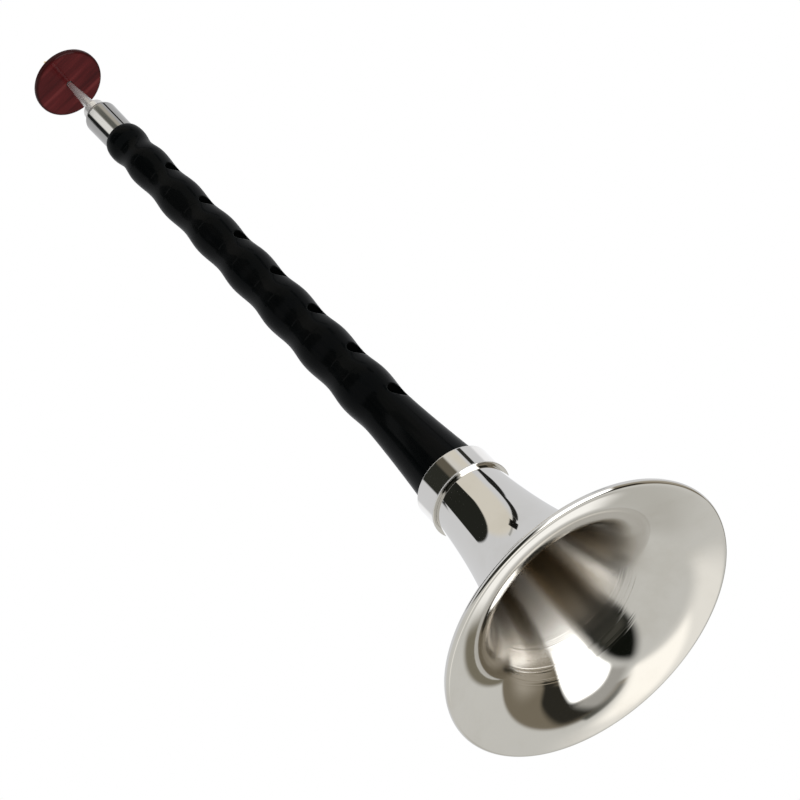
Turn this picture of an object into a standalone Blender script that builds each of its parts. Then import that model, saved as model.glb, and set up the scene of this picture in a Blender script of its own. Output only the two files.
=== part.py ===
"""Suona in D: spun bell, waved wooden pipe, sliding staple, lip disc and cane reed.

The instrument stands on its bell. The origin is the centre of the bell's mouth on the
surface, +Z runs up the bore to the reed, and the finger holes face -Y.
"""

import math

import bmesh
import bpy
from mathutils import Matrix

# Driving dimensions, in metres
fit_gap = 0.0003            # between two pieces that touch on the real instrument

mouth_radius = 0.0590       # outside of the rolled rim
bell_height = 0.0872        # mouth plane to the end of the neck
bell_wall = 0.0006
bell_neck_radius = 0.0151   # middle of the wall in the straight neck
flare_reach = 0.0079        # how far up the mouth's fast flare lasts
rim_wire_radius = 0.0005
rim_facet = math.radians(24.0)
rim_facets = 12

collar_height = 0.0118
collar_wall = 0.0007
collar_lip_width = 0.0004   # how far the bead at the collar's lower edge stands out
collar_lip_height = 0.0012
collar_cap = 0.0009         # thickness of the collar's turned-in top

pipe_length = 0.2973
pipe_insertion = 0.0230     # how deep the pipe goes into the bell's neck
foot_clearance = 0.0008     # pipe's foot to the inside of the neck
waist_radius_low = 0.01035  # pipe radius in the lowest hollow
waist_radius_high = 0.00795 # pipe radius in the neck below the top bead
foot_curve = 1.3
swell_count = 7
swell_pitch = 0.0306
swell_height = 0.00105
top_swell_drop = 0.0252     # crest of the highest swell below the pipe's top
bead_radius = 0.0090
bead_crest_drop = 0.0051
bead_neck_drop = 0.0140
bead_top_radius = 0.0080
bore_radius_low = 0.0090
bore_radius_high = 0.0034
hole_radius_low = 0.0041
hole_radius_high = 0.0033

cork_groove = 0.0008        # depth of the groove that holds the tenon's cork
cork_length = 0.0165
tenon_end = 0.0030          # wood left below the cork

receiver_bore = 0.0047
receiver_tail_wall = 0.0006
receiver_tail_length = 0.0230
sleeve_radius = 0.00765
sleeve_height = 0.0232
sleeve_chamfer_width = 0.00125
sleeve_chamfer_height = 0.0037

shoulder_radius = 0.0051
shoulder_height = 0.0055
shoulder_chamfer = 0.0004
staple_guide_length = 0.0100
staple_tube_radius = 0.0031
staple_tube_length = 0.0390
staple_bore = 0.0024
staple_cork_length = 0.0200
cone_seat_depth = 0.0040
cone_base_radius = 0.00275
cone_length = 0.0252
cone_wall = 0.0004
disc_seat_radius = 0.00115
tip_radius = 0.0010
tip_length = 0.0110

disc_radius = 0.0162
disc_thickness = 0.0034
disc_edge = 0.0012          # radius of the disc's rounded edge
disc_travel = 0.0025        # how far the disc lifts off its seat below the reed

reed_length = 0.0150
reed_round_length = 0.0062  # lower part of the cane that stays round
reed_wall = 0.00045
reed_tip_width = 0.0064
reed_tip_thickness = 0.0015
binding_length = 0.0036
binding_thickness = 0.00045
reed_wire_radius = 0.0003

# Facets round each piece
bell_sides = 40
pipe_sides = 28
small_sides = 24
hole_sides = 14
points_per_swell = 8
flare_points = 14

# Heights and radii that follow from them
rim_middle_radius = rim_wire_radius + fit_gap + bell_wall / 2
rim_facet_drop = rim_middle_radius * math.cos(rim_facet / 2)
rim_centre_z = rim_facet_drop + bell_wall / 2
rim_centre_radius = mouth_radius - rim_middle_radius - bell_wall / 2
neck_inside = bell_neck_radius - bell_wall / 2
neck_outside = bell_neck_radius + bell_wall / 2

collar_top = bell_height + fit_gap + collar_cap
collar_bottom = collar_top - collar_height

pipe_bottom = bell_height - pipe_insertion
pipe_top = pipe_bottom + pipe_length
foot_radius = neck_inside - foot_clearance
tenon_radius = foot_radius - cork_groove
low_waist_z = pipe_top - top_swell_drop - (swell_count - 0.5) * swell_pitch
bead_neck_z = pipe_top - bead_neck_drop
bead_crest_z = pipe_top - bead_crest_drop
tail_radius = receiver_bore + receiver_tail_wall
socket_radius = tail_radius + fit_gap
sleeve_bottom = pipe_top + fit_gap
sleeve_top = sleeve_bottom + sleeve_height
tail_bottom = sleeve_bottom - receiver_tail_length
socket_floor = tail_bottom - fit_gap

shoulder_bottom = sleeve_top + fit_gap
shoulder_top = shoulder_bottom + shoulder_height
staple_bottom = shoulder_bottom - staple_tube_length
cone_bottom = shoulder_top - cone_seat_depth + fit_gap
disc_bottom = shoulder_top + cone_length
disc_top = disc_bottom + disc_thickness
tip_top = disc_bottom + tip_length
reed_bottom = disc_top + disc_travel + fit_gap
reed_top = reed_bottom + reed_length
reed_inside = disc_seat_radius + fit_gap
reed_outside = reed_inside + reed_wall


def clear_scene():
    for old in list(bpy.data.objects):
        bpy.data.objects.remove(old, do_unlink=True)


def new_collection(name):
    collection = bpy.data.collections.new(name)
    bpy.context.scene.collection.children.link(collection)
    return collection


def new_material(name, colour, roughness, metallic):
    material = bpy.data.materials.new(name)
    material.use_nodes = True
    shader = material.node_tree.nodes["Principled BSDF"]
    shader.inputs["Base Color"].default_value = (*colour, 1.0)
    shader.inputs["Roughness"].default_value = roughness
    shader.inputs["Metallic"].default_value = metallic
    return material


def new_piece(name, mesh, material, collection):
    mesh.materials.append(material)
    piece = bpy.data.objects.new(name, mesh)
    collection.objects.link(piece)
    return piece


def slide_empty(name, z, collection, parent=None):
    """An empty on the bore's axis, where the pieces that slide together are parented."""
    empty = bpy.data.objects.new(name, None)
    empty.empty_display_size = 0.02
    empty.location.z = z - (parent["height"] if parent else 0.0)
    empty["height"] = z
    empty.parent = parent
    collection.objects.link(empty)
    return empty


def carry(piece, empty):
    """Parent a piece that was drawn at its height above the mouth to its empty."""
    piece.parent = empty
    piece.location.z = -empty["height"]
    return piece


def profile_mesh(name, points, closed):
    """A turned piece's half section, as edges in the XZ plane."""
    mesh = bpy.data.meshes.new(name)
    last = len(points) if closed else len(points) - 1
    edges = [(i, (i + 1) % len(points)) for i in range(last)]
    mesh.from_pydata([(r, 0.0, z) for r, z in points], edges, [])
    return mesh


def turn(piece, sides):
    screw = piece.modifiers.new("Turn", "SCREW")
    screw.steps = sides
    screw.render_steps = sides
    screw.use_merge_vertices = True
    screw.merge_threshold = 0.00001
    screw.use_smooth_shade = True
    return piece


def turned_ring(name, outer, inner, sides, material, collection):
    """A bored piece: its outer side from top to bottom, then its bore from bottom to top."""
    return turn(new_piece(name, profile_mesh(name, outer + inner, True), material, collection), sides)


def bell_middle_line():
    """Middle of the bell's wall, from the neck down the flare and round the rolled rim."""
    first_angle = -math.pi / 2 - rim_facet / 2
    roll = []
    for i in range(rim_facets + 1):
        angle = first_angle + i * rim_facet
        roll.append((rim_centre_radius + rim_middle_radius * math.cos(angle),
                     rim_centre_z + rim_middle_radius * math.sin(angle)))
    flare_radius, lip_z = roll[0]
    straight = collar_bottom
    growth = math.log(1 + (straight - lip_z) / flare_reach)
    exponent = math.log(flare_radius / bell_neck_radius) / growth
    flare = []
    for i in range(flare_points):
        u = growth * (1 - i / flare_points)
        flare.append((flare_radius * math.exp(-exponent * u),
                      lip_z + flare_reach * (math.exp(u) - 1)))
    return [(bell_neck_radius, bell_height)] + flare + roll


def make_bell(nickel, steel, collection):
    flare = new_piece("bell_flare", profile_mesh("bell_flare", bell_middle_line(), False),
                      nickel, collection)
    turn(flare, bell_sides)
    wall = flare.modifiers.new("Wall", "SOLIDIFY")
    wall.thickness = bell_wall
    wall.offset = 0.0
    wall.use_even_offset = True

    bpy.ops.mesh.primitive_torus_add(major_radius=rim_centre_radius, minor_radius=rim_wire_radius,
                                     major_segments=bell_sides, minor_segments=6,
                                     location=(0.0, 0.0, rim_centre_z))
    wire = bpy.context.object
    wire.name = "bell_rim_wire"
    wire.data.materials.append(steel)
    for owner in list(wire.users_collection):
        owner.objects.unlink(wire)
    collection.objects.link(wire)

    inside = neck_outside + fit_gap
    outside = inside + collar_wall
    lip = outside + collar_lip_width
    lip_top = collar_bottom + collar_lip_height
    ease = collar_wall / 2
    outer = [(outside - ease, collar_top), (outside, collar_top - ease), (outside, lip_top),
             (lip, lip_top - collar_lip_width), (lip, collar_bottom + collar_lip_width),
             (lip - collar_lip_width, collar_bottom)]
    inner = [(inside, collar_bottom), (inside, bell_height + fit_gap),
             (neck_inside, bell_height + fit_gap), (neck_inside, collar_top)]
    turned_ring("bell_collar", outer, inner, bell_sides, nickel, collection)


def waist_radius(z):
    """Radius of the pipe in its hollows, which taper evenly to the top."""
    share = (z - low_waist_z) / (bead_neck_z - low_waist_z)
    return waist_radius_low + (waist_radius_high - waist_radius_low) * share


def half_wave(low, high, count):
    """Radii and heights along half a wave between two (radius, height) points, last one left out."""
    points = []
    for i in range(count):
        share = i / count
        ease = 0.5 - 0.5 * math.cos(math.pi * share)
        points.append((low[0] + (high[0] - low[0]) * ease, low[1] + (high[1] - low[1]) * share))
    return points


def pipe_outside():
    """Outer side of the pipe from its foot up to the top bead."""
    foot_steps = 6
    points = []
    for i in range(foot_steps):
        share = 1 - i / foot_steps
        z = low_waist_z - (low_waist_z - bell_height) * share
        points.append((waist_radius_low + (foot_radius - waist_radius_low) * share ** foot_curve, z))
    half = points_per_swell // 2
    for i in range(swell_count):
        hollow_z = low_waist_z + i * swell_pitch
        crest_z = hollow_z + swell_pitch / 2
        next_z = min(hollow_z + swell_pitch, bead_neck_z)
        hollow = (waist_radius(hollow_z), hollow_z)
        crest = (waist_radius(crest_z) + swell_height, crest_z)
        points += half_wave(hollow, crest, half)
        points += half_wave(crest, (waist_radius(next_z), next_z), half)
    neck = (waist_radius_high, bead_neck_z)
    crest = (bead_radius, bead_crest_z)
    points += half_wave(neck, crest, half)
    round_steps = 4
    for i in range(round_steps + 1):
        angle = math.pi / 2 * i / round_steps
        points.append((bead_top_radius + (bead_radius - bead_top_radius) * math.cos(angle),
                       bead_crest_z + bead_crest_drop * math.sin(angle)))
    return points


def bore_radius(z):
    share = (z - pipe_bottom) / (socket_floor - pipe_bottom)
    return bore_radius_low + (bore_radius_high - bore_radius_low) * share


def finger_hole_cutters(collection):
    """Seven holes in the hollows in front, and the thumb hole behind, between the top two."""
    mesh = bpy.data.meshes.new("finger_hole_cutters")
    drills = bmesh.new()
    reach = 2 * foot_radius
    spots = [(low_waist_z + i * swell_pitch, -1.0) for i in range(swell_count)]
    spots.append((spots[-1][0] - swell_pitch / 2, 1.0))
    for z, side in spots:
        share = (z - low_waist_z) / (bead_neck_z - low_waist_z)
        radius = hole_radius_low + (hole_radius_high - hole_radius_low) * share
        start = bore_radius(z) * 0.1
        turn_to_y = Matrix.Rotation(math.radians(90.0), 4, "X")
        middle = Matrix.Translation((0.0, side * (start + reach / 2), z))
        bmesh.ops.create_cone(drills, cap_ends=True, segments=hole_sides, radius1=radius,
                              radius2=radius, depth=reach, matrix=middle @ turn_to_y)
    drills.to_mesh(mesh)
    drills.free()
    cutters = bpy.data.objects.new("finger_hole_cutters", mesh)
    cutters.hide_render = True
    cutters.display_type = "WIRE"
    collection.objects.link(cutters)
    return cutters


def make_pipe(ebony, cork, nickel, collection, cutter_collection, empty):
    groove_bottom = pipe_bottom + tenon_end
    groove_top = groove_bottom + cork_length + 2 * fit_gap
    ease = cork_groove / 2
    tenon = [(foot_radius, groove_top), (tenon_radius, groove_top), (tenon_radius, groove_bottom),
             (foot_radius, groove_bottom), (foot_radius, pipe_bottom + ease),
             (foot_radius - ease, pipe_bottom)]
    outer = list(reversed(pipe_outside())) + tenon
    inner = [(bore_radius_low, pipe_bottom), (bore_radius_high, socket_floor),
             (socket_radius, socket_floor), (socket_radius, pipe_top)]
    pipe = turned_ring("pipe_body", outer, inner, pipe_sides, ebony, collection)
    holes = pipe.modifiers.new("Finger holes", "BOOLEAN")
    holes.operation = "DIFFERENCE"
    holes.solver = "EXACT"
    cutters = finger_hole_cutters(cutter_collection)
    holes.object = cutters
    carry(pipe, empty)
    carry(cutters, empty)

    cork_bottom = groove_bottom + fit_gap
    cork_top = cork_bottom + cork_length
    cork_outside = neck_inside - fit_gap
    cork_inside = tenon_radius + fit_gap
    outer = [(cork_outside - ease, cork_top), (cork_outside, cork_top - ease),
             (cork_outside, cork_bottom + ease), (cork_outside - ease, cork_bottom)]
    inner = [(cork_inside, cork_bottom), (cork_inside, cork_top)]
    carry(turned_ring("tenon_cork", outer, inner, pipe_sides, cork, collection), empty)

    outer = [(sleeve_radius - sleeve_chamfer_width, sleeve_top),
             (sleeve_radius, sleeve_top - sleeve_chamfer_height), (sleeve_radius, sleeve_bottom),
             (tail_radius, sleeve_bottom), (tail_radius, tail_bottom)]
    inner = [(receiver_bore, tail_bottom), (receiver_bore, sleeve_top)]
    carry(turned_ring("receiver_sleeve", outer, inner, small_sides, nickel, collection), empty)


def make_staple(nickel, cork, brass, collection, empty):
    guide_radius = receiver_bore - fit_gap
    guide_bottom = shoulder_bottom - staple_guide_length
    seat_radius = cone_base_radius + fit_gap
    seat_floor = shoulder_top - cone_seat_depth
    outer = [(shoulder_radius - shoulder_chamfer, shoulder_top),
             (shoulder_radius, shoulder_top - shoulder_chamfer), (shoulder_radius, shoulder_bottom),
             (guide_radius, shoulder_bottom), (guide_radius, guide_bottom),
             (staple_tube_radius, guide_bottom), (staple_tube_radius, staple_bottom)]
    inner = [(staple_bore, staple_bottom), (staple_bore, seat_floor), (seat_radius, seat_floor),
             (seat_radius, shoulder_top)]
    carry(turned_ring("staple_tube", outer, inner, small_sides, nickel, collection), empty)

    cork_top = guide_bottom - fit_gap
    cork_bottom = cork_top - staple_cork_length
    cork_inside = staple_tube_radius + fit_gap
    outer = [(guide_radius, cork_top), (guide_radius, cork_bottom)]
    inner = [(cork_inside, cork_bottom), (cork_inside, cork_top)]
    carry(turned_ring("staple_cork", outer, inner, small_sides, cork, collection), empty)

    outside = [(tip_radius, tip_top), (disc_seat_radius, disc_bottom), (cone_base_radius, shoulder_top),
               (cone_base_radius, cone_bottom)]
    inside = [(r - cone_wall, z) for r, z in reversed(outside)]
    carry(turned_ring("staple_cone", outside, inside, small_sides, brass, collection), empty)


def make_disc(rosewood, collection, empty):
    hole = disc_seat_radius + fit_gap
    edge_steps = 3
    corner_radius = disc_radius - disc_edge
    outer = []
    for i in range(edge_steps + 1):
        angle = math.pi / 2 * (1 - i / edge_steps)
        outer.append((corner_radius + disc_edge * math.cos(angle),
                      disc_top - disc_edge + disc_edge * math.sin(angle)))
    for i in range(edge_steps + 1):
        angle = -math.pi / 2 * i / edge_steps
        outer.append((corner_radius + disc_edge * math.cos(angle),
                      disc_bottom + disc_edge + disc_edge * math.sin(angle)))
    inner = [(hole, disc_bottom), (hole, disc_top)]
    carry(turned_ring("lip_disc", outer, inner, 2 * small_sides, rosewood, collection), empty)


def press_flat(mesh, start, end, width, thickness):
    """Squeeze a turned tube towards its tip into two blades with a slit between them."""
    for vertex in mesh.vertices:
        share = max(0.0, (vertex.co.z - start) / (end - start))
        ease = share * share * (3 - 2 * share)
        vertex.co.x *= 1 + ease * (width / 2 / reed_outside - 1)
        depth = vertex.co.y / reed_outside
        vertex.co.y = vertex.co.y * (1 - ease) + depth * thickness / 2 * ease
    mesh.update()


def make_reed(cane, thread, brass, collection, empty):
    blade_steps = 5
    round_top = reed_bottom + reed_round_length
    heights = [reed_top - (reed_top - round_top) * i / blade_steps for i in range(blade_steps + 1)]
    heights.append(reed_bottom)
    outer = [(reed_outside, z) for z in heights]
    inner = [(reed_inside, z) for z in reversed(heights)]
    rough = turned_ring("reed_rough", outer, inner, small_sides, cane, collection)
    bpy.context.view_layer.update()
    graph = bpy.context.evaluated_depsgraph_get()
    mesh = bpy.data.meshes.new_from_object(rough.evaluated_get(graph))
    bpy.data.objects.remove(rough, do_unlink=True)
    press_flat(mesh, round_top, reed_top, reed_tip_width, reed_tip_thickness)
    mesh.name = "reed_cane"
    reed = bpy.data.objects.new("reed_cane", mesh)
    collection.objects.link(reed)
    carry(reed, empty)

    inside = reed_outside + fit_gap
    outside = inside + binding_thickness
    bottom = reed_bottom + fit_gap
    top = bottom + binding_length
    carry(turned_ring("reed_binding", [(outside, top), (outside, bottom)],
                      [(inside, bottom), (inside, top)], small_sides, thread, collection), empty)

    wire_z = top + fit_gap + reed_wire_radius
    bpy.ops.mesh.primitive_torus_add(major_radius=inside + reed_wire_radius,
                                     minor_radius=reed_wire_radius, major_segments=small_sides,
                                     minor_segments=6)
    wire = bpy.context.object
    wire.name = "reed_wire"
    wire.data.materials.append(brass)
    for owner in list(wire.users_collection):
        owner.objects.unlink(wire)
    collection.objects.link(wire)
    wire.parent = empty
    wire.location.z = wire_z - empty["height"]


def build():
    clear_scene()
    parts = new_collection("suona")
    cutters = new_collection("cutters")
    nickel = new_material("nickel plate", (0.82, 0.81, 0.79), 0.12, 1.0)
    steel = new_material("steel wire", (0.55, 0.55, 0.56), 0.35, 1.0)
    ebony = new_material("black ebony", (0.012, 0.012, 0.013), 0.38, 0.0)
    cork = new_material("cork", (0.50, 0.33, 0.19), 0.85, 0.0)
    brass = new_material("brass", (0.80, 0.62, 0.30), 0.25, 1.0)
    rosewood = new_material("polished rosewood", (0.16, 0.022, 0.022), 0.18, 0.0)
    cane = new_material("cane", (0.72, 0.55, 0.28), 0.60, 0.0)
    thread = new_material("red thread", (0.45, 0.04, 0.04), 0.85, 0.0)

    pipe_slide = slide_empty("pipe_slide", bell_height, parts)
    staple_slide = slide_empty("staple_slide", sleeve_top, parts, pipe_slide)
    disc_slide = slide_empty("disc_slide", disc_bottom, parts, staple_slide)
    reed_slide = slide_empty("reed_slide", reed_bottom, parts, staple_slide)

    make_bell(nickel, steel, parts)
    make_pipe(ebony, cork, nickel, parts, cutters, pipe_slide)
    make_staple(nickel, cork, nickel, parts, staple_slide)
    make_disc(rosewood, parts, disc_slide)
    make_reed(cane, thread, brass, parts, reed_slide)


build()
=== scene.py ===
import math

import bmesh
import bpy
from mathutils import Matrix, Vector


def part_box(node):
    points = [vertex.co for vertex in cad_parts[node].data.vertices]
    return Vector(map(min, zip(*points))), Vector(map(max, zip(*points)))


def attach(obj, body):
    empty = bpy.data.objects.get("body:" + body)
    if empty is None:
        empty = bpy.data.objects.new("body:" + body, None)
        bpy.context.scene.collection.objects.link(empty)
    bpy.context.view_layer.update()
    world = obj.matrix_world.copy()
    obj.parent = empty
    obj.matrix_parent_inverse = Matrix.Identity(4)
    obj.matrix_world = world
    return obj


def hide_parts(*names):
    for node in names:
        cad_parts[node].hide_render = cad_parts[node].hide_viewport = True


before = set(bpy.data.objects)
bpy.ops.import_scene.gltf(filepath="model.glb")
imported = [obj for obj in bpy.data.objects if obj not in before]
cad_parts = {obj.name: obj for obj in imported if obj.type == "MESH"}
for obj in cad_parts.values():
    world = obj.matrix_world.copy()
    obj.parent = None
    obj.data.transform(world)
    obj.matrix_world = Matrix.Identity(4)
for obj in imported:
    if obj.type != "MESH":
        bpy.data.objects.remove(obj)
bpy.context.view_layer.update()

print("frame loaded:", len(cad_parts), "CAD nodes")


class Signal:
    # a socket that can stand in an ordinary sum
    def __init__(self, nodes, socket):
        self.nodes = nodes
        self.socket = socket

    def out(self, name):
        return Signal(self.nodes, self.socket.node.outputs[name])

    def __add__(self, other):
        return self.nodes.maths("ADD", self, other)

    def __radd__(self, other):
        return self.nodes.maths("ADD", other, self)

    def __sub__(self, other):
        return self.nodes.maths("SUBTRACT", self, other)

    def __rsub__(self, other):
        return self.nodes.maths("SUBTRACT", other, self)

    def __mul__(self, other):
        return self.nodes.maths("MULTIPLY", self, other)

    def __rmul__(self, other):
        return self.nodes.maths("MULTIPLY", other, self)

    def __truediv__(self, other):
        return self.nodes.maths("DIVIDE", self, other)


class Nodes:
    # every node of a material or of the world comes from add()
    def __init__(self, tree):
        self.tree = tree
        tree.nodes.clear()

    def add(self, kind, settings=None, sockets=None, output=0):
        node = self.tree.nodes.new("ShaderNode" + kind)
        for name, value in (settings or {}).items():
            if name == "stops":
                self.setStops(node.color_ramp, value)
            else:
                setattr(node, name, value)
        for name, value in (sockets or {}).items():
            socket = node.inputs[name]
            if isinstance(value, Signal):
                self.tree.links.new(value.socket, socket)
            elif socket.type == "RGBA" and len(value) == 3:
                socket.default_value = (*value, 1.0)
            else:
                socket.default_value = value
        if not node.outputs:
            return node
        return Signal(self, node.outputs[output])

    def setStops(self, ramp, stops):
        while len(ramp.elements) < len(stops):
            ramp.elements.new(0.5)
        for element, (position, colour) in zip(ramp.elements, stops):
            element.position = position
            element.color = (*colour, 1.0)

    def maths(self, operation, a, b=0.0, c=0.0):
        return self.add("Math", {"operation": operation}, {0: a, 1: b, 2: c})

    def mix(self, factor, a, b):
        return self.add("Mix", {"data_type": "RGBA"}, {0: factor, 6: a, 7: b}, 2)

    def dot(self, a, b):
        return self.add("VectorMath", {"operation": "DOT_PRODUCT"}, {0: a, 1: b}, "Value")

    def between(self, value, low, high):
        # 0 below low, 1 above high, and a smooth step between them
        return self.add("MapRange", {"interpolation_type": "SMOOTHSTEP"},
                        {"Value": value, "From Min": low, "From Max": high})

    def here(self, scale=(1.0, 1.0, 1.0), turn=(0.0, 0.0, 0.0)):
        # the point on the piece, in metres, turned and then stretched
        place = self.add("TexCoord", output="Object")
        turned = self.add("Mapping", None, {"Vector": place, "Rotation": turn})
        return self.add("Mapping", None, {"Vector": turned, "Scale": scale})

    def noise(self, place, scale, detail=3.0, roughness=0.55):
        return self.add("TexNoise", None, {"Vector": place, "Scale": scale, "Detail": detail,
                                           "Roughness": roughness})


class Finish(Nodes):
    def __init__(self, name):
        self.material = bpy.data.materials.new(name)
        self.material.use_nodes = True
        super().__init__(self.material.node_tree)

    def bump(self, height, distance, strength=1.0, under=None):
        sockets = {"Height": height, "Distance": distance, "Strength": strength}
        if under:
            sockets["Normal"] = under
        return self.add("Bump", None, sockets)

    def close(self, sockets):
        shader = self.add("BsdfPrincipled", None, sockets)
        self.add("OutputMaterial", None, {"Surface": shader})
        return self.material


def heading(bearing, height):
    across = math.cos(math.radians(height))
    return Vector((across * math.cos(math.radians(bearing)), across * math.sin(math.radians(bearing)),
                   math.sin(math.radians(height))))


nickelLook = {
    "colour": (0.72, 0.705, 0.68),
    "darkerTone": (0.60, 0.575, 0.53),
    "roughness": 0.03,
    "haze": 0.015,          # roughness that old polish and handling add
    "markScale": 3600.0,    # lathe marks to the metre
    "markDepth": 0.0000005,
}

# The inside of the bell is rougher deep in the throat, and there its colour darkens to a brown: painted shade,
# lifted at a few bearings as a painted highlight.
throatLook = {
    # colour is the brown of the painted shade deep in the throat
    "colour": (0.26, 0.210, 0.142),
    "roughness": 0.20,
    "outerPolish": 0.4,     # the outside is polished finer than the inside
    "stretch": 1.0,         # how far the lathe marks draw a reflection out across them
    "dullRadii": (0.025, 0.036),
    "paintedShadeRadii": (0.017, 0.036),
    "paintedHighlight": (-13.0, 55.0, 105.0),      # bearings where the painted shade is lifted: a painted highlight
    "ridges": 520.0,        # ridges that the spinning tool left, to the metre
    "ridgeHeight": 120.0,   # times as deep as the polish marks
    "ridgeRadii": (0.025, 0.028, 0.034, 0.036),
    "chatter": (8.0, 76.0),     # bearings where the tool chattered
}


def nickelFinish(name, markDepth, shade=1.0, throat=False):
    nodes = Finish(name)
    place = nodes.here()
    x = nodes.add("SeparateXYZ", None, {0: place})
    y = x.out("Y")
    z = x.out("Z")
    radius = nodes.maths("SQRT", x * x + y * y)
    along = radius - z      # grows steadily down a bell, a tube and a flat end alike
    path = nodes.add("CombineXYZ", None, {0: along * nickelLook["markScale"], 1: x * 25.0, 2: y * 25.0})
    marks = nodes.noise(path, 1.0, 4.0, 0.65)
    haze = nodes.noise(place, 45.0, 4.0, 0.6)
    smear = nodes.between(haze, 0.45, 0.75)
    clean = [part * shade for part in nickelLook["colour"]]
    darkerTone = [part * shade for part in nickelLook["darkerTone"]]
    colour = nodes.mix(smear * 0.35, clean, darkerTone)
    roughness = nickelLook["roughness"] + smear * nickelLook["haze"] + marks * 0.01
    if throat:
        spoke = nodes.add("CombineXYZ", None, {0: x, 1: y})
        facing = nodes.dot(spoke, nodes.add("TexCoord", output="Normal"))
        inside = 1.0 - nodes.between(facing, -0.004, 0.0)
        dull = inside * (1.0 - nodes.between(radius, *throatLook["dullRadii"]))
        # deep in the throat the colour darkens to a brown: painted shade
        brown = inside * (1.0 - nodes.between(radius, *throatLook["paintedShadeRadii"]))
        paintedHighlight = 0.0
        # at the listed bearings most of that painted shade is lifted: a painted highlight where bright streaks
        # fall
        for bearing in throatLook["paintedHighlight"]:
            paintedHighlight = nodes.between(nodes.dot(spoke, heading(bearing, 0.0)) / radius, 0.93, 0.995) + paintedHighlight
        brown = brown * (1.0 - paintedHighlight * 0.75)
        colour = nodes.mix(brown, colour, throatLook["colour"])
        roughness = roughness * (throatLook["outerPolish"] + inside * (1.0 - throatLook["outerPolish"]))
        roughness = roughness + dull * throatLook["roughness"]
        ridgePath = nodes.add("CombineXYZ", None, {0: along * throatLook["ridges"], 1: x * 14.0, 2: y * 14.0})
        ridges = nodes.between(nodes.noise(ridgePath, 1.0, 2.0, 0.6), 0.46, 0.66)
        patches = 0.0
        for bearing in throatLook["chatter"]:
            patches = nodes.between(nodes.dot(spoke, heading(bearing, 0.0)) / radius, 0.80, 0.97) + patches
        low, full, fullEnd, high = throatLook["ridgeRadii"]
        ring = nodes.between(radius, low, full) * (1.0 - nodes.between(radius, fullEnd, high))
        marks = marks + ridges * patches * ring * inside * throatLook["ridgeHeight"]
    return nodes.close({
        "Base Color": colour,
        "Metallic": 1.0,
        "Roughness": roughness,
        "Anisotropic": throatLook["stretch"] if throat else 0.0,
        "Anisotropic Rotation": 0.25,
        "Normal": nodes.bump(marks, markDepth),
    })


ebonyLook = {
    "dark": (0.0004, 0.0008, 0.0009),
    "brown": (0.0014, 0.0016, 0.0016),
    "roughness": 0.26,
    "specular": 0.015,
    "coat": 0.05,           # the shine of the oil polish
    "coatRoughness": 0.05,
    "poreDepth": 0.00002,
}


def ebonyFinish():
    nodes = Finish("ebony")
    grain = nodes.noise(nodes.here((900.0, 900.0, 45.0)), 1.0, 4.0, 0.6)
    figure = nodes.noise(nodes.here((160.0, 160.0, 14.0)), 1.0, 3.0, 0.5)
    pores = nodes.noise(nodes.here((2600.0, 2600.0, 160.0)), 1.0, 2.0, 0.5)
    pits = nodes.between(pores, 0.60, 0.72)
    streak = nodes.between(figure * 0.6 + grain * 0.4, 0.42, 0.66)
    colour = nodes.mix(streak, ebonyLook["dark"], ebonyLook["brown"])
    wave = grain * 0.35 - pits
    x = nodes.add("SeparateXYZ", None, {0: nodes.here()})
    radius = nodes.maths("SQRT", x * x + x.out("Y") * x.out("Y"))
    spoke = nodes.add("CombineXYZ", None, {0: x, 1: x.out("Y")})
    facing = nodes.dot(spoke, nodes.add("TexCoord", output="Normal")) / radius
    outside = nodes.between(facing, 0.25, 0.55)     # the bore and the walls of the holes aren't polished
    return nodes.close({
        "Base Color": colour,
        "Roughness": 0.75 + outside * (ebonyLook["roughness"] - 0.75) + grain * 0.10 + pits * 0.15,
        "Specular IOR Level": ebonyLook["specular"],
        "Coat Weight": outside * ebonyLook["coat"],
        "Coat Roughness": ebonyLook["coatRoughness"],
        "Normal": nodes.bump(wave, ebonyLook["poreDepth"], 0.6),
    })


rosewoodLook = {
    "grainTurn": 63.0,      # degrees that bring the grain on to X
    "stops": [(0.00, (0.034, 0.003, 0.004)), (0.30, (0.066, 0.006, 0.007)),
              (0.62, (0.096, 0.010, 0.011)), (0.85, (0.138, 0.021, 0.021)),
              (1.00, (0.078, 0.008, 0.009))],
    "edge": (0.016, 0.003, 0.003),      # the colour the disc darkens to over its rounded edge
    "edgeWidth": 0.0016,
    "coat": 0.13,
    "coatRoughness": 0.05,
    "specular": 0.04,
}


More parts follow.
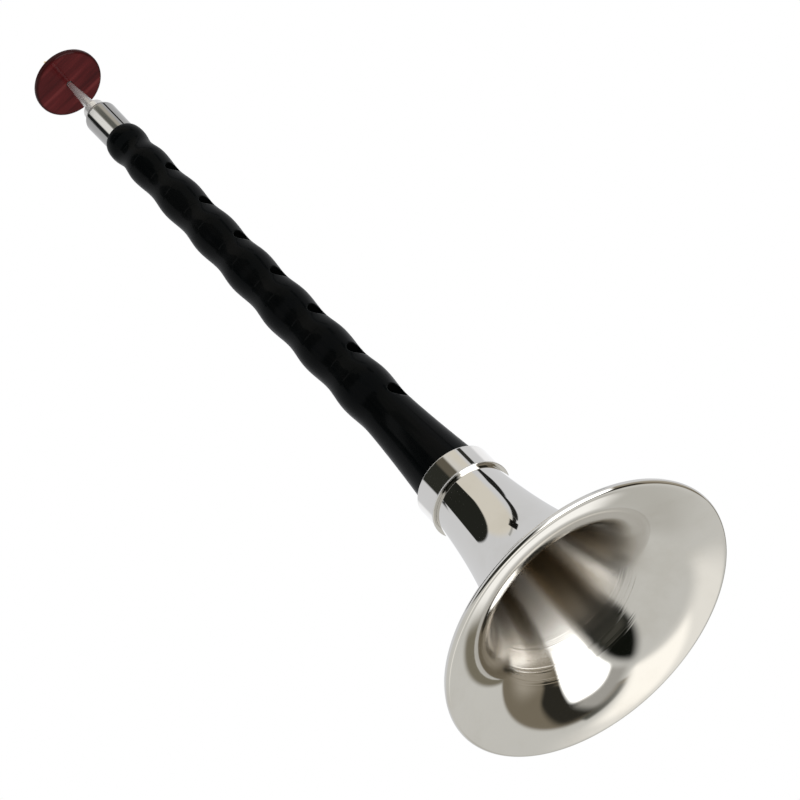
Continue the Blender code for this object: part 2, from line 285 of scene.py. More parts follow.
def rosewoodFinish(rimRadius):
    nodes = Finish("rosewood")
    turn = (0.0, 0.0, math.radians(rosewoodLook["grainTurn"]))
    wander = nodes.noise(nodes.here((60.0, 260.0, 260.0), turn), 1.0, 2.0, 0.5)
    bands = nodes.noise(nodes.here((16.0, 260.0, 180.0), turn), 1.0, 3.0, 0.50)
    pores = nodes.noise(nodes.here((300.0, 5200.0, 2600.0), turn), 1.0, 2.0, 0.5)
    pits = nodes.between(pores, 0.60, 0.74)
    figure = nodes.between(bands * 0.8 + wander * 0.2, 0.26, 0.76)
    colour = nodes.add("ValToRGB", {"stops": rosewoodLook["stops"]}, {"Fac": figure})
    colour = nodes.mix(pits * 0.35, colour, (0.014, 0.002, 0.002))
    x = nodes.add("SeparateXYZ", None, {0: nodes.here()})
    radius = nodes.maths("SQRT", x * x + x.out("Y") * x.out("Y"))
    # the colour darkens over the rounded edge of the rim
    darkerTone = nodes.between(radius, rimRadius - rosewoodLook["edgeWidth"], rimRadius)
    colour = nodes.mix(darkerTone * 0.85, colour, rosewoodLook["edge"])
    return nodes.close({
        "Base Color": colour,
        "Roughness": 0.32 + pits * 0.2,
        "Specular IOR Level": rosewoodLook["specular"],
        "Coat Weight": rosewoodLook["coat"],
        "Coat Roughness": rosewoodLook["coatRoughness"],
        "Normal": nodes.bump(bands - pits, 0.00001, 0.4),
    })


corkLook = {"light": (0.60, 0.41, 0.24), "dark": (0.40, 0.24, 0.12), "seam": (0.16, 0.08, 0.04)}


def corkFinish():
    nodes = Finish("cork")
    place = nodes.here()
    grains = nodes.add("TexVoronoi", None, {"Vector": place, "Scale": 750.0})
    tone = nodes.add("SeparateXYZ", None, {0: grains.out("Color")})
    edges = nodes.add("TexVoronoi", {"feature": "DISTANCE_TO_EDGE"}, {"Vector": place, "Scale": 750.0})
    seam = 1.0 - nodes.between(edges, 0.0, 0.16)
    flecks = nodes.between(nodes.noise(place, 1900.0, 3.0), 0.60, 0.70)
    colour = nodes.mix(tone, corkLook["light"], corkLook["dark"])
    colour = nodes.mix(nodes.maths("MAXIMUM", seam * 0.7, flecks), colour, corkLook["seam"])
    rough = nodes.noise(place, 3000.0, 3.0)
    return nodes.close({
        "Base Color": colour,
        "Roughness": 0.82 + rough * 0.12,
        "Normal": nodes.bump(rough * 0.4 - seam - flecks, 0.00012, 0.8),
    })


caneLook = {"bark": (0.66, 0.46, 0.20), "scraped": (0.80, 0.66, 0.40), "fibre": (0.42, 0.26, 0.10)}


def caneFinish(scrapedFrom, scrapedTo):
    nodes = Finish("cane")
    place = nodes.here()
    z = nodes.add("SeparateXYZ", None, {0: place}, "Z")
    fibres = nodes.noise(nodes.here((3400.0, 3400.0, 130.0)), 1.0, 3.0, 0.6)
    flecks = nodes.between(nodes.noise(nodes.here((1500.0, 1500.0, 420.0)), 1.0, 2.0), 0.62, 0.72)
    scraped = nodes.between(z + fibres * 0.0012, scrapedFrom, scrapedTo)
    colour = nodes.mix(scraped, caneLook["bark"], caneLook["scraped"])
    colour = nodes.mix(nodes.between(fibres, 0.48, 0.70) * 0.55, colour, caneLook["fibre"])
    colour = nodes.mix(flecks * 0.5, colour, caneLook["fibre"])
    return nodes.close({
        "Base Color": colour,
        "Roughness": 0.34 + scraped * 0.30,
        "Normal": nodes.bump(fibres, 0.00004, 0.7),
    })


def threadFinish(turns, low, high):
    nodes = Finish("red thread")
    place = nodes.here()
    x = nodes.add("SeparateXYZ", None, {0: place})
    angle = nodes.maths("ARCTAN2", x.out("Y"), x)
    rise = (x.out("Z") - low) * (turns * 2 * math.pi / (high - low))
    twist = nodes.maths("SINE", angle * 34.0 + rise * 3.0)
    fuzz = nodes.noise(place, 9000.0, 3.0, 0.7)
    colour = nodes.mix(fuzz, (0.30, 0.012, 0.014), (0.52, 0.04, 0.035))
    # the colour darkens into the grooves between the twisted strands: painted shade
    colour = nodes.mix(nodes.between(twist, -1.0, 0.6), (0.14, 0.006, 0.006), colour)
    return nodes.close({
        "Base Color": colour,
        "Roughness": 0.62 + fuzz * 0.2,
        "Normal": nodes.bump(twist * 0.5 + fuzz * 0.5, 0.00003, 0.7),
    })


def wireFinish(name, colour, dull, roughness):
    nodes = Finish(name)
    place = nodes.here()
    tarnish = nodes.between(nodes.noise(place, 1400.0, 4.0, 0.6), 0.42, 0.72)
    drawn = nodes.noise(nodes.here((500.0, 500.0, 6000.0)), 1.0, 2.0)
    return nodes.close({
        "Base Color": nodes.mix(tarnish, colour, dull),
        "Metallic": 1.0,
        "Roughness": roughness + tarnish * 0.2,
        "Normal": nodes.bump(drawn, 0.000004, 0.6),
    })


tinLook = {"bright": (0.78, 0.77, 0.75), "dull": (0.68, 0.665, 0.64), "roughness": 0.24, "metal": 0.80}


def tinFinish():
    nodes = Finish("tin, dull")
    cloud = nodes.between(nodes.noise(nodes.here(), 350.0, 4.0, 0.5), 0.40, 0.75)
    drawn = nodes.noise(nodes.here((120.0, 120.0, 900.0)), 1.0, 2.0)
    return nodes.close({
        "Base Color": nodes.mix(cloud, tinLook["bright"], tinLook["dull"]),
        "Metallic": tinLook["metal"],
        "Roughness": tinLook["roughness"] + cloud * 0.08,
        "Normal": nodes.bump(drawn, 0.000001, 0.5),
    })


nickelBell = nickelFinish("nickel, spun", nickelLook["markDepth"], 1.0, True)
nickelTurned = nickelFinish("nickel, turned", nickelLook["markDepth"] * 0.6)
# The receiver sleeve's nickel is the turned nickel with its colour scaled to 0.55: painted shade.
nickelPaintedShade = nickelFinish("nickel, painted shade", nickelLook["markDepth"] * 0.6, 0.55)
tin = tinFinish()
ebony = ebonyFinish()
cork = corkFinish()
brassWire = wireFinish("brass wire", (0.78, 0.58, 0.26), (0.46, 0.30, 0.12), 0.20)
steelWire = wireFinish("steel wire", (0.50, 0.50, 0.51), (0.24, 0.20, 0.17), 0.32)
print("finishes ready")


def easedOutline(corners, steps=5):
    # corners are (radius, height, rounding), and each rounding gets an arc and a point beside it
    points = []
    for i, (radius, height, ease) in enumerate(corners):
        corner = Vector((radius, height))
        if not ease:
            points.append(corner)
            continue
        back = (Vector(corners[i - 1][:2]) - corner).normalized()
        ahead = (Vector(corners[(i + 1) % len(corners)][:2]) - corner).normalized()
        half = back.angle(ahead) / 2
        reach = ease / math.tan(half)
        beside = reach + min(ease / 2, 0.0002)
        centre = corner + (back + ahead).normalized() * ease / math.sin(half)
        start = corner + back * reach - centre
        sweep = start.angle_signed(corner + ahead * reach - centre)
        points.append(corner + back * beside)
        for step in range(steps + 1):
            spoke = start.copy()
            spoke.rotate(Matrix.Rotation(-sweep * step / steps, 2))
            points.append(centre + spoke)
        points.append(corner + ahead * beside)
    return points


def sheetOutline(line, wall, steps=4):
    # both sides of a sheet's middle line, with round edges
    left = []
    right = []
    for i, point in enumerate(line):
        ahead = (line[min(i + 1, len(line) - 1)] - line[max(i - 1, 0)]).normalized()
        across = Vector((-ahead.y, ahead.x)) * wall / 2
        left.append(point + across)
        right.append(point - across)
        if i == 0:
            first = ahead
    ends = []
    for point, ahead in ((line[-1], ahead), (line[0], -first)):
        across = Vector((-ahead.y, ahead.x))
        for step in range(1, steps):
            angle = math.pi * step / steps
            ends.append(point + (across * math.cos(angle) + ahead * math.sin(angle)) * wall / 2)
    return left + ends[:steps - 1] + right[::-1] + ends[steps - 1:]


def faceOutwards(shape):
    bmesh.ops.recalc_face_normals(shape, faces=shape.faces)
    if shape.calc_volume(signed=True) < 0:
        bmesh.ops.reverse_faces(shape, faces=shape.faces)


def turnOutline(outline, sides):
    shape = bmesh.new()
    points = [shape.verts.new((point[0], 0.0, point[1])) for point in outline]
    edges = [shape.edges.new((a, b)) for a, b in zip(points, points[1:] + points[:1])]
    bmesh.ops.spin(shape, geom=points + edges, cent=(0.0, 0.0, 0.0), axis=(0.0, 0.0, 1.0),
                   dvec=(0.0, 0.0, 0.0), angle=2 * math.pi, steps=sides, use_merge=True,
                   use_duplicate=False, use_normal_flip=False)
    bmesh.ops.remove_doubles(shape, verts=shape.verts, dist=0.0000001)
    faceOutwards(shape)
    return shape


def makePiece(name, shape, body, node, finish, crease=34.0):
    mesh = bpy.data.meshes.new(name)
    if isinstance(shape, bmesh.types.BMesh):
        shape.to_mesh(mesh)
        shape.free()
    else:
        mesh = shape
        mesh.name = name
    mesh.materials.clear()
    mesh.materials.append(finish)
    mesh.shade_smooth()
    mesh.set_sharp_from_angle(angle=math.radians(crease))
    piece = bpy.data.objects.new(name, mesh)
    bpy.context.scene.collection.objects.link(piece)
    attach(piece, body)
    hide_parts(node)
    return piece


bell = {
    "wall": 0.0006,
    "neckRadius": 0.0151,       # middle of the sheet in the straight neck
    "flareReach": 0.0079,       # how far up the mouth's fast flare lasts
    "rollRadius": 0.0011,       # middle of the sheet in the rolled rim
    "rollFrom": -103.6,         # degrees, where the flare runs into the roll
    "rollTo": 192.0,
    "sides": 192,
    "flarePoints": 72,
    "rollPoints": 26,
}

bellLow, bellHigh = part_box("bell_flare")
collarLow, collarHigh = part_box("bell_collar")


def bellMiddleLine():
    rollCentre = Vector((bellHigh.x - bell["rollRadius"] - bell["wall"] / 2,
                         bell["rollRadius"] + bell["wall"] / 2))
    roll = []
    for i in range(bell["rollPoints"] + 1):
        share = i / bell["rollPoints"]
        angle = math.radians(bell["rollFrom"] + (bell["rollTo"] - bell["rollFrom"]) * share)
        roll.append(rollCentre + Vector((math.cos(angle), math.sin(angle))) * bell["rollRadius"])
    lip = roll[0]
    growth = math.log(1 + (collarLow.z - lip.y) / bell["flareReach"])
    exponent = math.log(lip.x / bell["neckRadius"]) / growth
    flare = []
    for i in [0, 0.04] + list(range(1, bell["flarePoints"])):     # two close points end the neck crisply
        u = growth * (1 - i / bell["flarePoints"])
        flare.append(Vector((lip.x * math.exp(-exponent * u),
                             lip.y + bell["flareReach"] * (math.exp(u) - 1))))
    neck = [Vector((bell["neckRadius"], z)) for z in (bellHigh.z, (bellHigh.z + collarLow.z) / 2)]
    return neck + flare + roll


makePiece("bellSpun", turnOutline(sheetOutline(bellMiddleLine(), bell["wall"]), bell["sides"]),
          "bell", "bell_flare", nickelBell)

collar = {"gap": 0.0003, "wall": 0.0007, "lipWidth": 0.0004, "lipHeight": 0.0010, "closeGap": 0.00004,
          "sides": 160}


def makeCollar():
    inside = bell["neckRadius"] + bell["wall"] / 2 + collar["gap"]
    outside = inside + collar["wall"]
    closed = inside - collar["gap"] + collar["closeGap"]    # the lip's edge lies against the neck
    lip = collarHigh.x
    top = collarHigh.z
    low = collarLow.z
    lipTop = low + collar["lipHeight"]
    capUnder = bellHigh.z + collar["gap"]
    neckInside = bell["neckRadius"] - bell["wall"] / 2
    corners = [(outside, top, 0.0004), (outside, lipTop, 0.0001),
               (lip, lipTop - collar["lipWidth"] / 2, 0.0002),
               (lip, low, 0.0004), (closed, low, 0.0), (closed, lipTop, 0.0), (inside, lipTop, 0.0),
               (inside, capUnder, 0.0001), (neckInside, capUnder, 0.0001), (neckInside, top, 0.0002)]
    makePiece("collarRing", turnOutline(easedOutline(corners), collar["sides"]),
              "bell", "bell_collar", nickelTurned)


makeCollar()
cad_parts["bell_rim_wire"].material_slots[0].material = steelWire
print("bell ready")


pipe = {
    "footRadius": 0.0140,
    "lowWaist": 0.01035,        # radius in the lowest hollow
    "highWaist": 0.00795,       # radius in the neck below the top bead
    "footCurve": 1.3,
    "swells": 7,
    "pitch": 0.0306,
    "swellHeight": 0.00105,
    "topSwellDrop": 0.0252,
    "beadRadius": 0.0090,
    "beadTop": 0.0080,
    "beadCrestDrop": 0.0051,
    "beadNeckDrop": 0.0140,
    "boreLow": 0.0090,
    "boreHigh": 0.0034,
    "socketRadius": 0.0056,
    "groove": 0.0008,
    "tenonEnd": 0.0030,
    "sides": 128,
    "stepsPerSwell": 26,
}
pipeLow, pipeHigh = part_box("pipe_body")
tenonCorkLow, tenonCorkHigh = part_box("tenon_cork")
sleeveLow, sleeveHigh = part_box("receiver_sleeve")
socketFloor = sleeveLow.z - 0.0003
lowWaistZ = pipeHigh.z - pipe["topSwellDrop"] - (pipe["swells"] - 0.5) * pipe["pitch"]
beadNeckZ = pipeHigh.z - pipe["beadNeckDrop"]
beadCrestZ = pipeHigh.z - pipe["beadCrestDrop"]


def waistRadius(z):
    share = (z - lowWaistZ) / (beadNeckZ - lowWaistZ)
    return pipe["lowWaist"] + (pipe["highWaist"] - pipe["lowWaist"]) * share


def rise(low, high, share):
    return low + (high - low) * (0.5 - 0.5 * math.cos(math.pi * share))


def pipeRadius(z):
    # outside of the pipe: flared foot, seven swells, top bead
    if z <= bellHigh.z:
        return pipe["footRadius"]
    if z < lowWaistZ:
        share = (lowWaistZ - z) / (lowWaistZ - bellHigh.z)
        return pipe["lowWaist"] + (pipe["footRadius"] - pipe["lowWaist"]) * share ** pipe["footCurve"]
    if z < beadNeckZ:
        swell = int((z - lowWaistZ) / pipe["pitch"])
        hollow = lowWaistZ + swell * pipe["pitch"]
        crest = hollow + pipe["pitch"] / 2
        top = waistRadius(crest) + pipe["swellHeight"]
        if z < crest:
            return rise(waistRadius(hollow), top, (z - hollow) / (crest - hollow))
        following = min(hollow + pipe["pitch"], beadNeckZ)
        return rise(top, waistRadius(following), (z - crest) / (following - crest))
    if z < beadCrestZ:
        return rise(pipe["highWaist"], pipe["beadRadius"], (z - beadNeckZ) / (beadCrestZ - beadNeckZ))
    share = min(1.0, (z - beadCrestZ) / pipe["beadCrestDrop"])
    return pipe["beadTop"] + (pipe["beadRadius"] - pipe["beadTop"]) * math.sqrt(1 - share * share)


def pipeOutline():
    heights = []
    spans = [(bellHigh.z, lowWaistZ, 26), (lowWaistZ, beadNeckZ, pipe["swells"] * pipe["stepsPerSwell"]),
             (beadNeckZ, beadCrestZ, 14)]
    for low, high, steps in spans:
        heights += [low + (high - low) * i / steps for i in range(steps)]
    heights += [beadCrestZ + pipe["beadCrestDrop"] * math.sin(math.pi / 2 * i / 12) for i in range(13)]
    outside = [Vector((pipeRadius(z), z)) for z in reversed(heights)]
    foot = pipe["footRadius"]
    grooved = foot - pipe["groove"]
    grooveTop = tenonCorkHigh.z + 0.0003
    grooveLow = tenonCorkLow.z - 0.0003
    bottom = pipeLow.z
    corners = [(foot, grooveTop, 0.00015), (grooved, grooveTop, 0.0001), (grooved, grooveLow, 0.0001),
               (foot, grooveLow, 0.00015), (foot, bottom, 0.0004), (pipe["boreLow"], bottom, 0.0003),
               (pipe["boreHigh"], socketFloor, 0.0001), (pipe["socketRadius"], socketFloor, 0.0001),
               (pipe["socketRadius"], pipeHigh.z, 0.0002), (outside[0].x, pipeHigh.z, 0.0),
               (outside[-1].x, outside[-1].y, 0.0)]
    return outside + easedOutline(corners)[:-2]


holes = {
    "lowRadius": 0.0041,
    "highRadius": 0.0033,
    "ease": 0.0006,         # rounding of the rims
    "sides": 64,
}


def drillHole(shape, z, side, radius, start):
    ease = holes["ease"]
    rings = [(radius, ease)]
    for degrees in (15, 30, 45, 60):
        angle = math.radians(degrees)
        rings.append((radius + ease * (1 - math.cos(angle)), ease * (1 - math.sin(angle))))
    rings.append((rings[-1][0] + 0.0017, rings[-1][1] - 0.0010))
    rings.append((rings[-1][0], rings[-1][1] - 0.0050))     # the flat end stays clear of the round wall
    drill = bmesh.new()
    points = [drill.verts.new((reach, 0.0, depth)) for reach, depth in rings]
    points.insert(0, drill.verts.new((radius, 0.0, 1.0)))
    edges = [drill.edges.new(pair) for pair in zip(points, points[1:])]
    bmesh.ops.spin(drill, geom=points + edges, axis=(0.0, 0.0, 1.0), angle=2 * math.pi,
                   steps=holes["sides"], use_merge=True)
    bmesh.ops.remove_doubles(drill, verts=drill.verts, dist=0.0000001)
    bmesh.ops.holes_fill(drill, edges=drill.edges, sides=0)
    for point in drill.verts:
        across, up, depth = point.co
        surface = math.sqrt(pipeRadius(z + up) ** 2 - across ** 2)
        point.co = (across, side * max(start, surface - depth), z + up)
    bmesh.ops.triangulate(drill, faces=drill.faces)     # bent faces spoil the cut
    faceOutwards(drill)
    mesh = bpy.data.meshes.new("drill")
    drill.to_mesh(mesh)
    drill.free()
    shape.from_mesh(mesh)
    bpy.data.meshes.remove(mesh)


def makePipe():
    outline = pipeOutline()
    shape = turnOutline(outline, pipe["sides"])
    mesh = bpy.data.meshes.new("pipeBlank")
    shape.to_mesh(mesh)
    shape.free()
    blank = bpy.data.objects.new("pipeBlank", mesh)
    bpy.context.scene.collection.objects.link(blank)
    drills = bmesh.new()
    spots = [(lowWaistZ + i * pipe["pitch"], -1.0) for i in range(pipe["swells"])]
    spots.append((spots[-1][0] - pipe["pitch"] / 2, 1.0))
    for z, side in spots:
        share = (z - lowWaistZ) / (beadNeckZ - lowWaistZ)
        radius = holes["lowRadius"] + (holes["highRadius"] - holes["lowRadius"]) * share
        boreShare = (z - pipeLow.z) / (socketFloor - pipeLow.z)
        bore = pipe["boreLow"] + (pipe["boreHigh"] - pipe["boreLow"]) * boreShare
        drillHole(drills, z, side, radius, bore * 0.1)
    drillMesh = bpy.data.meshes.new("drills")
    drills.to_mesh(drillMesh)
    drills.free()
    cutter = bpy.data.objects.new("drills", drillMesh)
    bpy.context.scene.collection.objects.link(cutter)
    cut = blank.modifiers.new("holes", "BOOLEAN")
    cut.operation = "DIFFERENCE"
    cut.solver = "EXACT"
    cut.object = cutter
    bpy.context.view_layer.update()
    graph = bpy.context.evaluated_depsgraph_get()
    drilled = bpy.data.meshes.new_from_object(blank.evaluated_get(graph))
    bpy.data.objects.remove(blank, do_unlink=True)
    bpy.data.objects.remove(cutter, do_unlink=True)
    makePiece("pipeTurned", drilled, "pipe", "pipe_body", ebony)


makePipe()
corks = {"ease": 0.0004, "sides": 96}


def makeCork(name, node, body, inside):
    low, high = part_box(node)
    ease = corks["ease"]
    corners = [(high.x, high.z, ease), (high.x, low.z, ease), (inside, low.z, 0.0001),
               (inside, high.z, 0.0001)]
    makePiece(name, turnOutline(easedOutline(corners), corks["sides"]), body, node, cork)


makeCork("tenonCork", "tenon_cork", "pipe", pipe["footRadius"] - pipe["groove"] + 0.0003)

sleeve = {"bore": 0.0047, "tailWall": 0.0006, "shoulder": 0.0024, "taper": 0.00026, "sides": 128}


def makeSleeve():
    tail = sleeve["bore"] + sleeve["tailWall"]
    radius = sleeveHigh.x
    top = sleeveHigh.z
    seat = pipeHigh.z + 0.0003
    corners = [(radius, top, sleeve["shoulder"]), (radius - sleeve["taper"], seat, 0.0003),
               (tail, seat, 0.0001), (tail, sleeveLow.z, 0.0002), (sleeve["bore"], sleeveLow.z, 0.0002),
               (sleeve["bore"], top, 0.0002)]
    makePiece("sleeveTurned", turnOutline(easedOutline(corners, 8), sleeve["sides"]),
              "pipe", "receiver_sleeve", nickelPaintedShade)


makeSleeve()
print("pipe ready")


staple = {"shoulderHeight": 0.0055, "guideRadius": 0.0044, "guideLength": 0.0100, "tubeRadius": 0.0031,
          "bore": 0.0024, "seatDepth": 0.0040, "seatRadius": 0.00305, "sides": 96}
cone = {"baseRadius": 0.00275, "seatRadius": 0.00115, "tipRadius": 0.0010, "wall": 0.0004, "sides": 72}
stapleLow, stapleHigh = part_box("staple_tube")
coneLow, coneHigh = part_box("staple_cone")
discLow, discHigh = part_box("lip_disc")


def makeStaple():
    shoulder = stapleHigh.x
    top = stapleHigh.z
    under = top - staple["shoulderHeight"]
    guideLow = under - staple["guideLength"]
    seatFloor = top - staple["seatDepth"]
    corners = [(shoulder, top, 0.0006), (shoulder, under, 0.0002), (staple["guideRadius"], under, 0.0001),
               (staple["guideRadius"], guideLow, 0.0002), (staple["tubeRadius"], guideLow, 0.0001),
               (staple["tubeRadius"], stapleLow.z, 0.0002), (staple["bore"], stapleLow.z, 0.0002),
               (staple["bore"], seatFloor, 0.0), (staple["seatRadius"], seatFloor, 0.0),
               (staple["seatRadius"], top, 0.0001)]
    makePiece("stapleTube", turnOutline(easedOutline(corners), staple["sides"]),
              "staple", "staple_tube", tin)
    makeCork("stapleCork", "staple_cork", "staple", staple["tubeRadius"] + 0.0003)
    line = [Vector((cone["baseRadius"], coneLow.z)), Vector((cone["baseRadius"], coneLow.z + 0.002)),
            Vector((cone["baseRadius"], stapleHigh.z)), Vector((cone["seatRadius"], discLow.z)),
            Vector((cone["seatRadius"] * 0.97, discLow.z + 0.002)), Vector((cone["tipRadius"], coneHigh.z))]
    middle = [Vector((point.x - cone["wall"] / 2, point.y)) for point in line]
    makePiece("stapleCone", turnOutline(sheetOutline(middle, cone["wall"]), cone["sides"]),
              "staple", "staple_cone", tin)


makeStaple()

disc = {"hole": 0.00145, "edge": 0.0012, "sides": 160}


def makeDisc():
    edge = disc["edge"]
    corners = [(discHigh.x, discHigh.z, edge), (discHigh.x, discLow.z, edge), (disc["hole"], discLow.z, 0.0002),
               (disc["hole"], discHigh.z, 0.0002)]
    makePiece("lipDisc", turnOutline(easedOutline(corners, 8), disc["sides"]),
              "disc", "lip_disc", rosewoodFinish(discHigh.x))


makeDisc()
print("staple and disc ready")


reed = {"inside": 0.00145, "outside": 0.0019, "roundLength": 0.0062, "tipWidth": 0.0064,
        "tipThickness": 0.0015, "sides": 72, "steps": 30}
reedLow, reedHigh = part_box("reed_cane")
roundTop = reedLow.z + reed["roundLength"]
cane = caneFinish(roundTop - 0.0006, roundTop + 0.0012)


def makeReed():
    heights = [reedLow.z + (reedHigh.z - reedLow.z) * i / reed["steps"] for i in range(reed["steps"] + 1)]
    outline = [(reed["outside"], z) for z in reversed(heights)] + [(reed["inside"], z) for z in heights]
    shape = turnOutline(outline, reed["sides"])
    for point in shape.verts:       # the upper part is pressed into two blades
        share = max(0.0, (point.co.z - roundTop) / (reedHigh.z - roundTop))
        ease = share * share * (3 - 2 * share)
        point.co.x *= 1 + ease * (reed["tipWidth"] / 2 / reed["outside"] - 1)
        point.co.y *= 1 + ease * (reed["tipThickness"] / 2 / reed["outside"] - 1)
    makePiece("reedBlades", shape, "reed", "reed_cane", cane)


makeReed()

binding = {"turns": 7, "sides": 12, "stepsPerTurn": 40}


def coil(radius, low, thick, turns, sides, stepsPerTurn):
    # a strand wound up the bore's axis from a height of low
    shape = bmesh.new()
    place = Matrix.Translation((radius, 0.0, low + thick / 2)) @ Matrix.Rotation(math.radians(90), 4, "X")
    bmesh.ops.create_circle(shape, cap_ends=False, segments=sides, radius=thick / 2, matrix=place)
    steps = turns * stepsPerTurn
    bmesh.ops.spin(shape, geom=shape.verts[:] + shape.edges[:], cent=(0.0, 0.0, 0.0),
                   axis=(0.0, 0.0, 1.0), dvec=(0.0, 0.0, thick / stepsPerTurn),
                   angle=2 * math.pi * turns, steps=steps)
    bmesh.ops.holes_fill(shape, edges=shape.edges, sides=sides)
    faceOutwards(shape)
    return shape


def makeBinding():
    low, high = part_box("reed_binding")
    thick = (high.z - low.z) / (binding["turns"] + 1)
    shape = coil(high.x - thick / 2, low.z, thick, binding["turns"], binding["sides"],
                 binding["stepsPerTurn"])
    finish = threadFinish(binding["turns"], low.z, high.z)
    makePiece("reedBinding", shape, "reed", "reed_binding", finish, 60.0)


makeBinding()

tie = {"turns": 1, "sides": 14, "stepsPerTurn": 64}


def makeTie():
    low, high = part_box("reed_wire")
    thick = (high.z - low.z) / (tie["turns"] + 1)
    shape = coil(high.x - thick / 2, low.z, thick, tie["turns"], tie["sides"], tie["stepsPerTurn"])
    makePiece("reedWire", shape, "reed", "reed_wire", brassWire, 60.0)


makeTie()
print("reed ready")


cameraView = {"eye": (-0.65679, -0.33465, -0.52787), "aim": (0.00305, -0.00613, 0.13683), "roll": -44.4,
              "lens": 117.0, "sensor": 36.0}


def makeCamera():
    data = bpy.data.cameras.new("camera")
    data.lens = cameraView["lens"]
    data.sensor_width = cameraView["sensor"]
    camera = bpy.data.objects.new("camera", data)
    bpy.context.scene.collection.objects.link(camera)
    eye = Vector(cameraView["eye"])
    look = (Vector(cameraView["aim"]) - eye).to_track_quat("-Z", "Y").to_matrix().to_4x4()
    camera.matrix_world = (Matrix.Translation(eye) @ look
                           @ Matrix.Rotation(math.radians(cameraView["roll"]), 4, "Z"))
    bpy.context.scene.camera = camera


makeCamera()

# The tent round the instrument, as polished metal sees it. Each card's corners are (bearing, height)
# in degrees round the bore, bearing 0 along +X and -90 in front of the finger holes; then how soft its
# edges are, in degrees, and its colour, where 1 is white. A later card hangs in front of an earlier one.
studio = {
    "ambient": (0.72, 0.72, 0.72),
    "upper": (0.78, 0.79, 0.81),
    "lower": (0.71, 0.705, 0.67),
    "bandBlur": 0.1,
    "cards": [
        # below the mouth
        ([(10, -84), (-11, -4), (-84, -4), (-60, -75)], 1.5, (0.22, 0.19, 0.14)),
        ([(-24, -30), (-24, -4), (-86, -4), (-80, -26)], 9.0, (0.44, 0.40, 0.33)),
        ([(-9, -72), (-10, -57), (-34, -44), (-56, -34), (-66, -46)], 2.5, (0.030, 0.028, 0.022)),
        ([(6, -80), (-3, -63), (-10, -63), (-14, -80)], 0.8, (0.10, 0.10, 0.085)),
        ([(170, -86), (163, -8), (-136, -8), (-136, -72)], 5.0, (0.006, 0.007, 0.005)),
        ([(173, -50), (170, -32), (-142, -32), (-142, -50)], 6.0, (0.065, 0.064, 0.052)),
        ([(-135, -86), (-11, -69), (-39, -62), (-72, -73), (-121, -72)], 3.0, (0.45, 0.44, 0.41)),
        ([(-126, -45), (-128, -4), (-82, -4), (-84, -45)], 2.5, (1.25, 1.25, 1.23)),
        ([(-125, -71), (-127, -22), (-83, -22), (-42, -62), (-66, -75)], 2.5, (3.1, 3.1, 3.05)),
        ([(68, -86), (66, -42), (35, -44), (6, -54), (14, -86)], 6.0, (1.03, 1.01, 0.95)),
        ([(62, -88), (62, -62), (30, -62), (6, -61), (8, -88)], 3.0, (1.38, 1.34, 1.25)),
        ([(24, 2), (24, -22), (62, -28), (62, 2)], 10.0, (0.58, 0.57, 0.53)),
        ([(-12, -11), (-12, 6), (22, 6), (22, -11)], 2.0, (0.22, 0.20, 0.15)),
        ([(23, -14), (23, -4), (33, -4), (33, -14)], 2.0, (1.25, 1.24, 1.20)),
        # above the bell
        ([(150, 64), (140, 42), (-160, 36), (-100, 36), (-80, 46), (-88, 62), (-130, 70)], 3.0,
         (0.83, 0.79, 0.70)),
        ([(137.5, 57.4), (143, 47), (160, 46), (-170, 46), (-150, 46), (-149, 55)], 0.6,
         (0.020, 0.021, 0.017)),
        ([(151, 45.5), (151, 36), (-170, 36), (-139, 36), (-139, 45.5)], 2.0, (0.030, 0.031, 0.025)),
        ([(-146, 71.5), (-146, 70.0), (-121, 66.0), (-121, 67.5)], 0.5, (0.45, 0.45, 0.43)),
        ([(-122, 68.0), (-122, 65.8), (-101, 61.2), (-101, 63.9)], 0.3, (0.02, 0.02, 0.018)),
        ([(-101, 64.8), (-101, 61.0), (-79, 50.8), (-79, 54.5)], 0.3, (0.02, 0.02, 0.018)),
        ([(-80, 54.3), (-80, 50.8), (-67, 46.0), (-64, 49.4)], 0.3, (0.02, 0.02, 0.018)),
        ([(-118, 70.0), (-127, 65.5), (-113, 62.8), (-105, 66.8)], 0.3, (0.01, 0.01, 0.009)),
        ([(-87, 43), (-87, 37), (-76, 37), (-76, 43)], 0.8, (0.035, 0.035, 0.03)),
    ],
    # level bands behind the camera, as (heights, bearings), softness of their ends and colour
    "bands": [
        ((34, 42.5), (-44, 84), 6.0, (1.12, 1.13, 1.16)),
        ((37, 42.5), (207, 231), 4.0, (0.140, 0.125, 0.095)),
        ((48.9, 50.1), (164, 210), 6.0, (1.72, 1.72, 1.68)),
        ((48.9, 50.1), (210, 245), 8.0, (0.22, 0.225, 0.20)),
        ((48.9, 50.1), (134, 160), 4.0, (0.03, 0.032, 0.032)),
    ],
}


def cardMask(nodes, way, corners, soft):
    # inside a card is inside the plane through each of its edges
    points = [heading(*corner) for corner in corners]
    middle = sum(points, Vector()) / len(points)
    blur = math.sin(math.radians(soft))
    mask = None
    for point, following in zip(points, points[1:] + points[:1]):
        edge = point.cross(following).normalized()
        if edge.dot(middle) < 0:
            edge = -edge
        side = nodes.between(nodes.dot(way, edge), -blur, blur)
        mask = mask * side if mask else side
    return mask


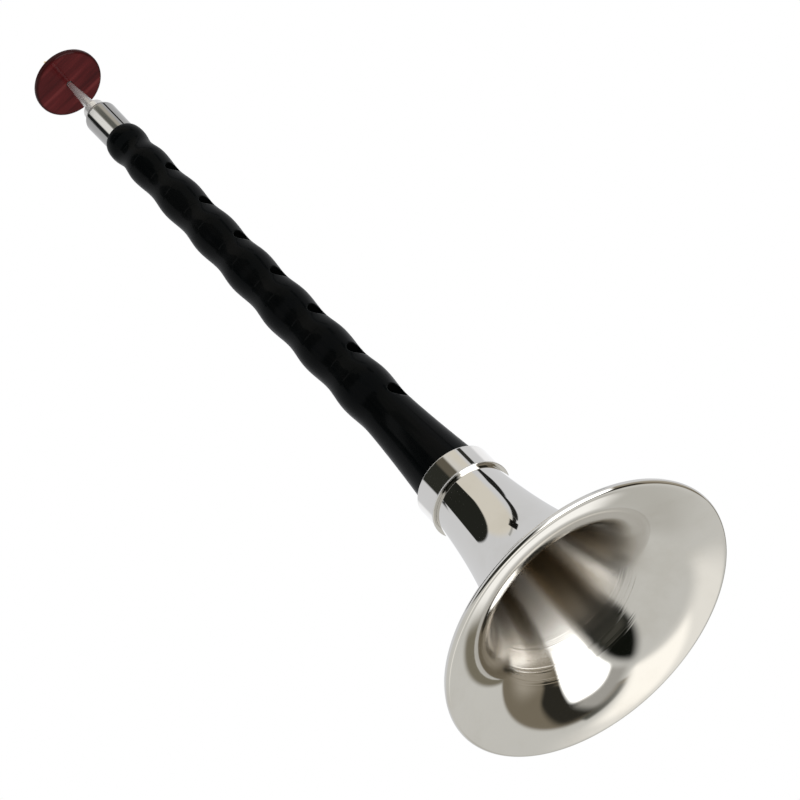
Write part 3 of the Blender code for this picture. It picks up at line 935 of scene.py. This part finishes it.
def bandMask(nodes, way, heights, bearings, soft):
    low, high = heights
    start, end = bearings
    up = nodes.dot(way, (0.0, 0.0, 1.0))
    blur = studio["bandBlur"]
    mask = nodes.between(up, math.sin(math.radians(low - blur)), math.sin(math.radians(low + blur)))
    mask = mask - nodes.between(up, math.sin(math.radians(high - blur)), math.sin(math.radians(high + blur)))
    ends = math.sin(math.radians(soft)) * math.cos(math.radians((low + high) / 2))
    for bearing, turn in ((start, 90), (end, -90)):
        mask = mask * nodes.between(nodes.dot(way, heading(bearing + turn, 0)), -ends, ends)
    return mask


def makeWorld():
    world = bpy.data.worlds.new("studio")
    bpy.context.scene.world = world
    world.use_nodes = True
    nodes = Nodes(world.node_tree)
    way = nodes.add("TexCoord", output="Generated")
    height = nodes.dot(way, (0.0, 0.0, 1.0))
    colour = nodes.mix(nodes.between(height, -0.2, 0.3), studio["lower"], studio["upper"])
    for corners, soft, tone in studio["cards"]:
        colour = nodes.mix(cardMask(nodes, way, corners, soft), colour, tone)
    for heights, bearings, soft, tone in studio["bands"]:
        colour = nodes.mix(bandMask(nodes, way, heights, bearings, soft), colour, tone)
    rays = nodes.add("LightPath", output="Is Camera Ray")
    backdrop = nodes.mix(rays, colour, (1.0, 1.0, 1.0))
    seen = rays + rays.out("Is Glossy Ray") + rays.out("Is Transmission Ray")
    seen = nodes.maths("MINIMUM", seen, 1.0)
    light = nodes.mix(seen, studio["ambient"], backdrop)
    shader = nodes.add("Background", None, {"Color": light, "Strength": 1.0})
    nodes.add("OutputWorld", None, {"Surface": shader})


makeWorld()

lamps = [
    {"name": "keyLamp", "place": (-0.9, -0.9, 1.1), "size": 0.9, "power": 9.0},
    {"name": "fillLamp", "place": (1.1, 0.3, 0.7), "size": 0.9, "power": 4.0},
    {"name": "lowLamp", "place": (-0.6, -0.8, -0.5), "size": 0.8, "power": 4.0},
]


def makeLamps():
    middle = Vector((0.0, 0.0, 0.2))
    for lamp in lamps:
        data = bpy.data.lights.new(lamp["name"], "AREA")
        data.shape = "DISK"
        data.size = lamp["size"]
        data.energy = lamp["power"]
        holder = bpy.data.objects.new(lamp["name"], data)
        bpy.context.scene.collection.objects.link(holder)
        place = Vector(lamp["place"])
        turn = (middle - place).to_track_quat("-Z", "Y").to_matrix().to_4x4()
        holder.matrix_world = Matrix.Translation(place) @ turn
        holder.visible_glossy = False


makeLamps()

floor = {"colour": (0.86, 0.86, 0.85), "mottle": (0.83, 0.83, 0.82), "size": 6.0,
         "fade": (0.35, 1.6)}       # between these radii the paper runs into the white backdrop


def makeFloor():
    shape = bmesh.new()
    bmesh.ops.create_grid(shape, x_segments=1, y_segments=1, size=floor["size"] / 2)
    mesh = bpy.data.meshes.new("floor")
    shape.to_mesh(mesh)
    shape.free()
    plane = bpy.data.objects.new("floor", mesh)
    bpy.context.scene.collection.objects.link(plane)
    nodes = Finish("floor paper")
    place = nodes.here()
    colour = nodes.mix(nodes.noise(place, 30.0, 5.0), floor["mottle"], floor["colour"])
    paper = nodes.add("BsdfPrincipled", None, {"Base Color": colour, "Roughness": 0.9,
                                               "Specular IOR Level": 0.1})
    white = nodes.add("Emission", None, {"Color": (1.0, 1.0, 1.0), "Strength": 1.0})
    far = nodes.between(nodes.add("VectorMath", {"operation": "LENGTH"}, {0: place}, "Value"), *floor["fade"])
    backdrop = nodes.add("MixShader", None, {0: far, 1: paper, 2: white})
    clear = nodes.add("BsdfTransparent")
    under = nodes.add("NewGeometry", output="Backfacing")
    surface = nodes.add("MixShader", None, {0: under, 1: backdrop, 2: clear})
    nodes.add("OutputMaterial", None, {"Surface": surface})
    mesh.materials.append(nodes.material)
    for kind in ("diffuse", "glossy", "transmission", "shadow"):
        setattr(plane, "visible_" + kind, False)


makeFloor()
bpy.context.scene.view_settings.view_transform = "Standard"
bpy.context.view_layer.update()
print("studio ready")
